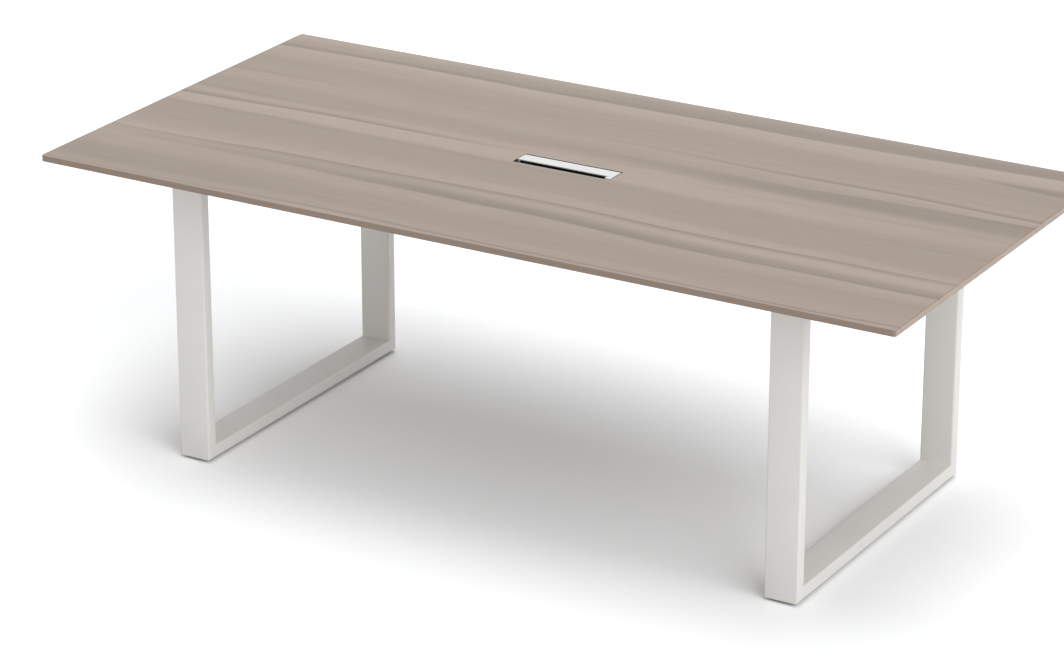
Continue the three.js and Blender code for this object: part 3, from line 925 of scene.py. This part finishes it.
@dataclass
class LegLoop:
    """A closed loop of four mitred tubes, welded, ground and painted."""

    side: Side
    wall: float = 2 * MM
    corner: float = 5 * MM
    stem_hole: float = 10.6 * MM
    bolt_hole: float = 8.6 * MM
    corner_steps: int = 6

    def __post_init__(self) -> None:
        """Takes the loop's box from the frame."""
        name = self.side.value
        post_low, post_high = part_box(f"{name}_front_post")
        self.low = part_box(f"{name}_foot_beam")[0]
        self.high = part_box(f"{name}_head_beam")[1]
        self.low.y = post_low.y
        self.high.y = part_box(f"{name}_rear_post")[1].y
        self.depth = post_high.y - post_low.y

    def tube_mesh(self, start: Vector, end: Vector, inward: Vector) -> Mesh:
        """One mitred tube.

        Args:
            start: The outer corner where it starts, at the middle of its width.
            end: The outer corner where it ends.
            inward: The direction to the inside of the loop.

        Returns:
            The tube's mesh.
        """
        along = (end - start).normalized()
        width = self.high.x - self.low.x
        rings = []
        for inset, at_end in ((0, False), (0, True), (self.wall, True), (self.wall, False)):
            size = (width - 2 * inset, self.depth - 2 * inset)
            section = rounded(*size, self.corner - inset, self.corner_steps)
            ring = []
            for across, height in section:
                retreat = height + self.depth / 2
                base = end - along * retreat if at_end else start + along * retreat
                ring.append(base + inward * retreat + Vector((across, 0, 0)))
            rings.append(ring)
        return mesh_from_rings("tube", rings, closed=True)

    def drilled(self, tube: Mesh, places: Iterable[Vector], diameter: float, axis: Vector) -> Mesh:
        """Drills round holes through one wall of a tube.

        Args:
            tube: The tube's mesh.
            places: The holes' places at that wall.
            diameter: The holes' diameter.
            axis: The holes' direction.

        Returns:
            The drilled tube.
        """
        reach = self.depth / 2
        bar = mesh_from_rings("bore", [round_ring(diameter / 2, level) for level in (-reach, reach)])
        cutters = [moved(bar, aimed(place, axis)) for place in places]
        return combined(tube, cutters, "DIFFERENCE")

    def stem_places(self) -> list[Vector]:
        """The middles of the glides' pads."""
        pads = [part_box(f"glide_pad_{self.side.value}_{end.value}") for end in End]
        return [(low + high) / 2 for low, high in pads]

    def bolt_places(self) -> list[Vector]:
        """Where the rail bolts go into the head beam's inner wall."""
        wall = self.low.x if self.side is Side.RIGHT else self.high.x
        return [place for end in End for place in rail_bolt_places(end, self.side, wall)]

    def build(self) -> None:
        """Builds the four tubes."""
        name = self.side.value
        middle = (self.low.x + self.high.x) / 2
        corners = product((self.low.z, self.high.z), (self.low.y, self.high.y))
        front_foot, rear_foot, front_head, rear_head = [Vector((middle, y, z)) for z, y in corners]
        up, back = Vector((0, 0, 1)), Vector((0, 1, 0))
        stand_for(f"{name}_front_post", self.tube_mesh(front_foot, front_head, back), LEG)
        stand_for(f"{name}_rear_post", self.tube_mesh(rear_foot, rear_head, -back), LEG)
        foot = self.tube_mesh(front_foot, rear_foot, up)
        foot = self.drilled(foot, self.stem_places(), self.stem_hole, up)
        stand_for(f"{name}_foot_beam", foot, LEG)
        head = self.tube_mesh(front_head, rear_head, -up)
        head = self.drilled(head, self.bolt_places(), self.bolt_hole, Vector((1, 0, 0)))
        stand_for(f"{name}_head_beam", head, LEG)
        for end in End:
            keep_node(f"{name}_{end.value}_fixing_plate", LEG)


@dataclass
class Fastener:
    """A bolt or screw along +Z with its head below level 0 and its shank above."""

    length: float
    head_height: float
    shank: float
    tip_share: float = 0.25
    sides: int = 72

    def shank_rings(self) -> list[Ring]:
        """Makes the shank from the head's seat to its chamfered tip.

        Returns:
            The shank's rings.
        """
        radius = self.shank / 2
        tip = radius * self.tip_share
        steps = ((radius, 0), (radius, self.length - tip), (radius - tip, self.length))
        return [round_ring(size, level, self.sides) for size, level in steps]

    def head_rings(self) -> list[Ring]:
        """The head's rings from its recess or top to its seat."""
        raise NotImplementedError

    def mesh(self) -> Mesh:
        """The whole fastener."""
        return mesh_from_rings("fastener", [*self.head_rings(), *self.shank_rings()])


@dataclass
class HexBolt(Fastener):
    """A bolt with a chamfered hexagon head and a round washer face."""

    head_height: float = 5.3 * MM
    shank: float = 8 * MM
    across_flats: float = 13 * MM
    washer_face: float = 0.4 * MM
    crown_share: float = 0.95
    chamfer: float = math.radians(30)

    def head_rings(self) -> list[Ring]:
        """Makes the hexagon with its top corners turned off.

        Returns:
            The head's rings from its top to its seat.
        """
        hexagon = hexagon_radius(self.across_flats)
        crown = self.across_flats / 2 * self.crown_share
        slope = math.tan(self.chamfer)
        corner = []
        for point in turned(hexagon, 0, self.sides):
            drop = (point.length - crown) * slope
            corner.append(Vector((point.x, point.y, drop - self.head_height)))
        return [
            round_ring(crown, -self.head_height, self.sides),
            corner,
            turned(hexagon, -self.washer_face, self.sides),
            round_ring(crown, -self.washer_face, self.sides),
            round_ring(crown, 0, self.sides),
        ]


@dataclass
class PanScrew(Fastener):
    """A screw with a low domed head and a cross recess."""

    head_height: float = 2.6 * MM
    shank: float = 4 * MM
    head: float = 8.4 * MM
    flat_share: float = 0.6
    dome_share: float = 0.75
    dome_steps: int = 5
    arm: float = 2.2 * MM
    arm_width: float = 1.1 * MM
    recess: float = 1.5 * MM
    recess_share: float = 0.7

    def head_rings(self) -> list[Ring]:
        """Makes the recess, the dome and the head's rim.

        Returns:
            The head's rings from the bottom of its recess to its seat.
        """
        cross = partial(cross_radius, self.arm, self.arm_width)
        floor = self.recess - self.head_height
        rings = [
            turned(lambda angle: cross(angle) * self.recess_share, floor, self.sides),
            turned(cross, -self.head_height, self.sides),
        ]
        flat = self.head / 2 * self.flat_share
        for turn in quarter_turns(self.dome_steps):
            radius = flat + (self.head / 2 - flat) * math.sin(turn)
            rise = self.dome_share * math.cos(turn) + 1 - self.dome_share
            rings.append(round_ring(radius, -self.head_height * rise, self.sides))
        rings.append(round_ring(self.head / 2, 0, self.sides))
        return rings


@dataclass
class Fixings:
    """The bolts that hold the fixing plates to the top, in their threaded inserts."""

    head: float = HexBolt.head_height

    def build(self) -> None:
        """Builds a bolt at each CAD bolt and dresses the inserts."""
        for side, end, wing in product(Side, End, Wing):
            place = f"{side.value}_{end.value}_{wing.value}"
            low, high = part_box(f"frame_bolt_{place}")
            bolt = HexBolt(high.z - low.z - self.head, self.head)
            seat = Vector(((low.x + high.x) / 2, (low.y + high.y) / 2, low.z + self.head))
            mesh = moved(bolt.mesh(), Matrix.Translation(seat))
            stand_for(f"frame_bolt_{place}", mesh, ZINC)
            keep_node(f"threaded_insert_{place}", BRASS)


@dataclass
class Rails:
    """The two rails under the top, with welded end plates bolted to the head beams."""

    bead: float = 3.5 * MM
    corner: float = 3 * MM
    root: float = 0.3 * MM
    hollow: float = 0.45
    bolt_reach: float = 16 * MM

    def bead_mesh(self, end: End, side: Side) -> Mesh:
        """Makes the weld bead around the sides and the bottom of a rail, where it meets its end plate.

        Args:
            end: The front or the rear rail.
            side: The rail's left or right end.

        Returns:
            The bead's mesh.
        """
        low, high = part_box(f"{end.value}_rail")
        plate_low, plate_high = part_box(f"{end.value}_rail_{side.value}_end_plate")
        seat = plate_high.x if side is Side.LEFT else plate_low.x
        middle = (low + high) / 2
        limit = plate_high.z - self.bead - middle.z
        outline = rounded(high.y - low.y, high.z - low.z, self.corner)
        lower = [point for point in outline if point[1] < 0]
        half = (high.y - low.y) / 2
        path = [(-half, limit), *lower, (half, limit)]
        rings = []
        for y, z in path:
            core_y = min(max(y, self.corner - half), half - self.corner)
            core = Vector((0, core_y, max(z, self.corner - half)))
            out = (Vector((0, y, z)) - core).normalized()
            surface = Vector((seat, middle.y + y, middle.z + z))
            inward = Vector((-side.sign * self.bead, 0, 0))
            waist = (self.hollow * self.bead, self.hollow)
            steps = ((-self.root, 0), (self.bead, 0), waist, (0, 1), (-self.root, 1))
            rings.append([surface + out * grow + inward * away for grow, away in steps])
        return mesh_from_rings("bead", rings)

    def build(self) -> None:
        """Dresses the rails and plates, and adds the beads and bolts."""
        bolt = HexBolt(self.bolt_reach).mesh()
        for end in End:
            keep_node(f"{end.value}_rail", RAIL)
            for side in Side:
                place = f"{end.value}_{side.value}"
                plate = f"{end.value}_rail_{side.value}_end_plate"
                keep_node(plate, RAIL)
                show_piece(f"rail_weld_{place}", self.bead_mesh(end, side), RAIL)
                low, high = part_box(plate)
                seat = high.x if side is Side.LEFT else low.x
                for ear, bolt_place in zip(End, rail_bolt_places(end, side, seat)):
                    aim = aimed(bolt_place, Vector((side.sign, 0, 0)))
                    show_piece(f"rail_bolt_{place}_{ear.value}", moved(bolt, aim), ZINC)


@dataclass
class Glide:
    """A levelling glide: a round pad on a threaded stem, with its nut in the foot beam."""

    side: Side
    end: End
    rim: float = 1.2 * MM
    rim_steps: int = 4
    socket: float = 5.3 * MM
    socket_depth: float = 3.4 * MM
    pitch: float = 1.5 * MM
    thread_depth: float = 0.85 * MM
    thread_steps: int = 6
    thread_sides: int = 36
    plain_foot: float = 3.2 * MM
    flats: float = 8 * MM
    flats_top: float = 12.2 * MM

    @property
    def place(self) -> str:
        """The end of the glide's node names."""
        return f"{self.side.value}_{self.end.value}"

    def seated(self, node: str, mesh: Mesh) -> Mesh:
        """Moves a mesh drawn about Z to a node's foot.

        Args:
            node: The CAD node.
            mesh: The mesh with its foot at the origin.

        Returns:
            The moved mesh.
        """
        low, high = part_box(node)
        foot = Vector(((low.x + high.x) / 2, (low.y + high.y) / 2, low.z))
        return moved(mesh, Matrix.Translation(foot))

    def pad_mesh(self, node: str) -> Mesh:
        """The pad with rounded rims and a socket for the stem.

        Args:
            node: The pad's CAD node.

        Returns:
            The pad's mesh.
        """
        low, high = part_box(node)
        radius = (high.x - low.x) / 2
        height = high.z - low.z
        turns = quarter_turns(self.rim_steps)
        lower = [(math.sin(turn), self.rim * (1 - math.cos(turn))) for turn in turns]
        upper = [(math.cos(turn), height - self.rim * (1 - math.sin(turn))) for turn in turns]
        rings = [round_ring(radius - self.rim * (1 - share), level) for share, level in lower + upper]
        rings.append(round_ring(self.socket, height))
        rings.append(round_ring(self.socket, height - self.socket_depth))
        return self.seated(node, mesh_from_rings("pad", rings))

    def stem_radius(self, outer: float, level: float, angle: float) -> float:
        """The stem's radius: a helical thread with two milled flats.

        Args:
            outer: The thread's outer radius.
            level: The height above the stem's foot.
            angle: The angle about the stem.

        Returns:
            The thread's radius, cut off at the flats.
        """
        phase = (level / self.pitch - angle / (2 * math.pi)) % 1
        thread = outer - self.thread_depth * abs(2 * phase - 1)
        if level > self.flats_top:
            return thread
        return min(thread, self.flats / 2 / max(abs(math.sin(angle)), TINY))

    def stem_mesh(self, node: str) -> Mesh:
        """The stem with its thread above a plain foot.

        Args:
            node: The stem's CAD node.

        Returns:
            The stem's mesh.
        """
        low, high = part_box(node)
        outer = (high.x - low.x) / 2
        length = high.z - low.z
        core = outer - self.thread_depth
        rings = [round_ring(core, level, self.thread_sides) for level in (0, self.plain_foot)]
        step = self.pitch / self.thread_steps
        for index in range(int((length - self.plain_foot - self.pitch) / step)):
            level = self.plain_foot + (index + 1) * step
            rings.append(turned(partial(self.stem_radius, outer, level), level, self.thread_sides))
        rings.append(round_ring(core, length, self.thread_sides))
        return self.seated(node, mesh_from_rings("stem", rings))

    def build(self) -> None:
        """Builds the pad and stem, and dresses the nut."""
        body = f"glide_{self.place}"
        pad, stem = f"glide_pad_{self.place}", f"glide_stem_{self.place}"
        stand_for(pad, self.pad_mesh(pad), BLACK, body)
        stand_for(stem, self.stem_mesh(stem), ZINC, body)
        keep_node(f"glide_nut_{self.place}", ZINC)


@dataclass
class CablePort:
    """The cable port: a box through the top with a lid hinged along its rear edge."""

    plate: float = 2.2 * MM
    lip: float = 2 * MM
    lip_height: float = 3.2 * MM
    fillet: float = 0.25 * MM
    arris: float = 0.7 * MM
    barrel: float = 3.8 * MM
    arc_steps: int = 5
    barrel_steps: int = 28
    cap: float = 3 * MM
    tab_thickness: float = 4 * MM
    tab_corner: float = 4 * MM
    tab_ease: float = 0.6 * MM
    neck_corner: float = 1.2 * MM
    neck_drop: float = 1.4 * MM
    fit: float = 1.0 * MM

    def __post_init__(self) -> None:
        """Takes the hinge and the lid's reach from the frame."""
        hinge = next(joint for joint in frame["joints"] if joint["name"] == "lid_hinge")
        self.hinge = Vector(hinge["pos_m"])
        self.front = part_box("lid_profile")[0].y - self.hinge.y

    def arc(self, y: float, z: float, radius: float, start: float, end: float) -> Outline:
        """Makes an arc.

        Args:
            y: The centre's first coordinate.
            z: The centre's second coordinate.
            radius: The radius.
            start: The first angle in degrees.
            end: The last angle in degrees.

        Returns:
            The arc's points.
        """
        shares = [step / self.arc_steps for step in range(self.arc_steps + 1)]
        turns = [math.radians(start + (end - start) * share) for share in shares]
        return [(y + radius * math.cos(turn), z + radius * math.sin(turn)) for turn in turns]

    def section(self, hollow: bool) -> Outline:
        """The lid's section about its hinge axis.

        Args:
            hollow: True for the profile with its lip, False for an end cap's solid outline.

        Returns:
            The outline's points.
        """
        top, edge = self.barrel, self.arris
        foot = top - self.lip_height if hollow else -self.barrel
        points = [(0.0, top)]
        points += self.arc(self.front + edge, top - edge, edge, 90, 180)
        points += self.arc(self.front + edge, foot + edge, edge, 180, 270)
        first_angle, last_angle = -90.0, 90.0
        if hollow:
            under = top - self.plate
            inner = self.front + self.lip
            points += self.arc(inner - edge, foot + edge, edge, 270, 360)
            points += self.arc(inner + self.fillet, under - self.fillet, self.fillet, 180, 90)
            first_angle = 180 - math.degrees(math.asin(under / self.barrel))
            last_angle += 360
        sweep = last_angle - first_angle
        for step in range(self.barrel_steps):
            turn = math.radians(first_angle + sweep * step / self.barrel_steps)
            points.append((self.barrel * math.cos(turn), self.barrel * math.sin(turn)))
        return points

    def run(self, outline: Outline, start: float, end: float) -> Mesh:
        """A section about the hinge axis, run along X from a start to an end."""
        rings = [[self.hinge + Vector((x, y, z)) for y, z in outline] for x in (start, end)]
        return mesh_from_rings("run", rings)

    def plate_mesh(self, low: Vector, high: Vector, corner: float) -> Mesh:
        """A small plate with round corners and an eased upper edge.

        Args:
            low: Its lowest corner.
            high: Its highest corner.
            corner: Its corners' radius.

        Returns:
            The mesh.
        """
        size = high - low
        middle = Vector(((low.x + high.x) / 2, (low.y + high.y) / 2, 0))
        rings = []
        for inset, level in ((0, low.z), (0, high.z - self.tab_ease), (self.tab_ease, high.z)):
            outline = rounded(size.x - 2 * inset, size.y - 2 * inset, corner - inset)
            rings.append(flat_ring(outline, level))
        return moved(mesh_from_rings("plate", rings), Matrix.Translation(middle))

    def tab_meshes(self) -> list[Mesh]:
        """Makes the finger tab in front of the lid's right end and the neck that joins it to the cap.

        Returns:
            The tab and the neck.
        """
        low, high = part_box("lid_end_cap_right")
        lip = self.hinge.y + self.front
        floor = high.z - self.tab_thickness
        tab_high = Vector((high.x, lip - self.fit, high.z))
        tab = self.plate_mesh(Vector((low.x, low.y, floor)), tab_high, self.tab_corner)
        neck_low = Vector((high.x - self.cap, (low.y + lip) / 2, floor))
        neck_high = Vector((high.x, lip + self.cap, high.z - self.neck_drop))
        neck = self.plate_mesh(neck_low, neck_high, self.neck_corner)
        return [tab, neck]

    def build(self) -> None:
        """Builds the lid and dresses the box and pins."""
        low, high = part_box("lid_profile")
        stand_for("lid_profile", self.run(self.section(True), low.x, high.x), LID, LID_BODY)
        cap = self.section(False)
        left_low, left_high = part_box("lid_end_cap_left")
        stand_for("lid_end_cap_left", self.run(cap, left_low.x, left_high.x), WHITE, LID_BODY)
        right_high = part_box("lid_end_cap_right")[1]
        right = self.run(cap, right_high.x - self.cap, right_high.x)
        right = combined(right, self.tab_meshes(), "UNION")
        stand_for("lid_end_cap_right", right, WHITE, LID_BODY)
        keep_node("port_box", BLACK)
        for side in Side:
            keep_node(f"hinge_pin_{side.value}", ZINC)


@dataclass
class TrayAndScrews:
    """The cable tray, with the wood screws that hold it and the port box."""

    tray_end: float = 40 * MM
    tray_flange: float = 18 * MM
    port_end: float = 40 * MM
    port_flange: float = 12 * MM
    port_skirt: float = 8 * MM
    sheet: float = 1.5 * MM
    screw_length: float = 14 * MM

    def screws(self, node: str, end: float, edge: float, seat: float) -> None:
        """Puts a screw in each of four holes.

        Args:
            node: The node that the screws hold.
            end: The distance of the holes from the node's ends.
            edge: The distance of the holes from the node's sides.
            seat: The level of the screws' seats.
        """
        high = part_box(node)[1]
        screw = PanScrew(self.screw_length).mesh()
        for side, back in product(Side, End):
            x = (high.x - end) * side.sign
            y = (high.y - edge) * back.sign
            name = f"{node}_screw_{side.value}_{back.value}"
            show_piece(name, moved(screw, Matrix.Translation((x, y, seat))), ZINC)

    def build(self) -> None:
        """Dresses the tray and adds the screws."""
        keep_node("cable_tray", RAIL)
        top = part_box("cable_tray")[1].z
        self.screws("cable_tray", self.tray_end, self.tray_flange / 2, top - self.sheet)
        port_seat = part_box("port_box")[0].z + self.port_skirt
        self.screws("port_box", self.port_end + self.port_flange, self.port_flange / 2, port_seat)


@dataclass
class Studio:
    """A pale floor, soft light from above and a camera at the photograph's angle."""

    camera_place: Point = (4.1112, -7.1620, 3.6019)
    camera_yaw: float = 30.402
    camera_pitch: float = -21.598
    lens: float = 134.06
    sensor: float = 36.0
    floor_size: float = 120.0
    floor_drop: float = 0.4 * MM
    floor_color: Point = (0.9, 0.9, 0.9)
    floor_gain: Point = (1.284, 1.3, 1.315)
    sky: float = 0.35
    top_light: float = 1.24
    top_way: Point = (0.02, -0.12, -0.97)
    side_light: float = 1.40
    side_way: Point = (-0.78, 0.36, -0.54)
    light_width: float = 50.0

    def floor(self) -> None:
        """A white floor that keeps the table's shadow and shows white to the camera."""
        half = self.floor_size / 2
        corners = [(-half, -half), (half, -half), (half, half), (-half, half)]
        mesh = bpy.data.meshes.new("floor")
        mesh.from_pydata([(x, y, -self.floor_drop) for x, y in corners], [], [(0, 1, 2, 3)])
        floor = new_object("floor", mesh)
        paint = bpy.data.materials.new("floor_white")
        paint.use_nodes = True
        mesh.materials.append(paint)
        graph = Graph(paint.node_tree)
        paint.node_tree.nodes.clear()
        tone = graph.mix(graph.seen(), self.floor_color, self.floor_gain)
        matt = graph.add("ShaderNodeBsdfDiffuse", {"Color": tone}).outputs[0]
        clear = graph.add("ShaderNodeBsdfTransparent").outputs[0]
        below = graph.add("ShaderNodeNewGeometry").outputs["Backfacing"]
        shown = graph.add("ShaderNodeMixShader", {0: below, 1: matt, 2: clear}).outputs[0]
        graph.add("ShaderNodeOutputMaterial", {"Surface": shown})

    def lamp(self, name: str, strength: float, direction: Point) -> None:
        """Adds a soft sun.

        Args:
            name: The lamp's name.
            strength: Its strength.
            direction: The way that its light travels.
        """
        data = bpy.data.lights.new(name, "SUN")
        data.energy = strength
        data.angle = math.radians(self.light_width)
        lamp = new_object(name, data)
        lamp.rotation_mode = "QUATERNION"
        lamp.rotation_quaternion = Vector(direction).to_track_quat("-Z", "Y")

    def light(self) -> None:
        """Adds an even sky, a broad light from above and a lower one from the right."""
        world = bpy.data.worlds.new("studio")
        world.use_nodes = True
        bpy.context.scene.world = world
        graph = Graph(world.node_tree)
        strength = graph.remap(graph.seen(), RISING, (self.sky, 1.0))
        white = (1.0, 1.0, 1.0)
        graph.fill(world.node_tree.nodes["Background"], {"Color": white, "Strength": strength})
        self.lamp("top_light", self.top_light, self.top_way)
        self.lamp("side_light", self.side_light, self.side_way)

    def camera(self) -> None:
        """The camera at the photograph's place and angle."""
        data = bpy.data.cameras.new("camera")
        data.lens = self.lens
        data.sensor_width = self.sensor
        camera = new_object("camera", data)
        camera.location = self.camera_place
        camera.rotation_euler.x = math.radians(90 + self.camera_pitch)
        camera.rotation_euler.z = math.radians(self.camera_yaw)
        bpy.context.scene.camera = camera

    def build(self) -> None:
        """Sets up the floor, lights, camera and view."""
        bpy.context.scene.view_settings.view_transform = "Standard"
        self.camera()
        self.floor()
        self.light()


def main() -> None:
    """Builds the table's looks, piece by piece."""
    logging.basicConfig(level=logging.INFO, format="%(message)s")
    Studio().build()
    TableTop().build()
    for side in Side:
        LegLoop(side).build()
    Fixings().build()
    Rails().build()
    for side, end in product(Side, End):
        Glide(side, end).build()
    CablePort().build()
    TrayAndScrews().build()


if __name__ == "__main__":
    main()
